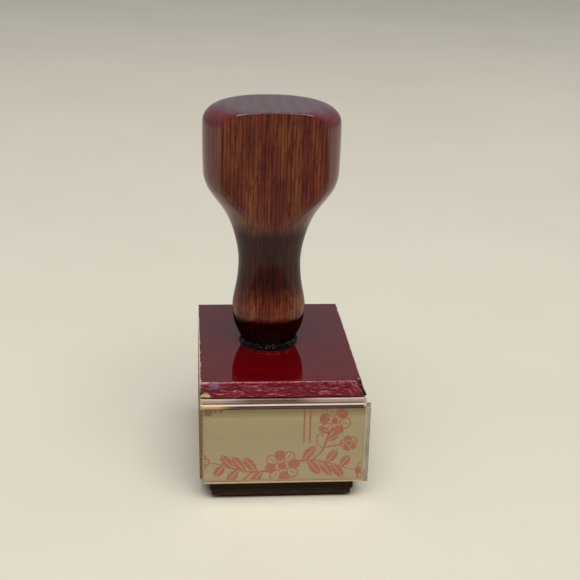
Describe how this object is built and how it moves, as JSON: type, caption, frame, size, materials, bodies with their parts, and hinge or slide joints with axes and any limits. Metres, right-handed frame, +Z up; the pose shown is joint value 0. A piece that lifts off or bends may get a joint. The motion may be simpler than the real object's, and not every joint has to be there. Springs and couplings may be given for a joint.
{
  "type": "rubber stamp",
  "caption": "Hand stamp with a turned wooden handle on a lacquered board and wooden block, an index card behind a clear sliding cover, and a cushioned rubber die.",
  "frame": {"origin": "centre of the rubber die's print face, the plane that rests on the paper", "axes": "+Z up along the handle, +X to the right along the short side of the block, -Y to the front where the index card is"},
  "size_m": [0.0433, 0.0554, 0.0982],
  "materials": {
    "stained_wood": "gloss varnish",
    "cherry_lacquer": "gloss lacquer",
    "raw_wood": "raw, sawn",
    "black_glue": "gloss",
    "steel": "zinc plated",
    "clear_plastic": "clear gloss",
    "cream_card": "matte, printed in coral",
    "adhesive": "matte film",
    "foam": "matte sponge rubber",
    "rubber": "matte moulded"
  },
  "bodies": {
    "mount": {"mount_block": "raw_wood", "top_board": "cherry_lacquer", "handle": "stained_wood", "glue_bead": "black_glue", "handle_screw": "steel", "index_rail": "clear_plastic", "index_card": "cream_card", "mount_adhesive": "adhesive", "cushion": "foam"},
    "cover": {"index_cover": "clear_plastic"},
    "die": {"rubber_die": "rubber", "die_adhesive": "adhesive"}
  },
  "joints": [
    {"name": "index_cover_slide", "type": "slide", "parent": "mount", "child": "cover", "axis": [1, 0, 0], "range_m": [-0.0425, 0.0405]},
    {"name": "cushion_press", "type": "slide", "parent": "mount", "child": "die", "axis": [0, 0, 1], "range_m": [0, 0.0008], "stiffness_N_per_m": 30000, "deforming": ["cushion"]}
  ]
}
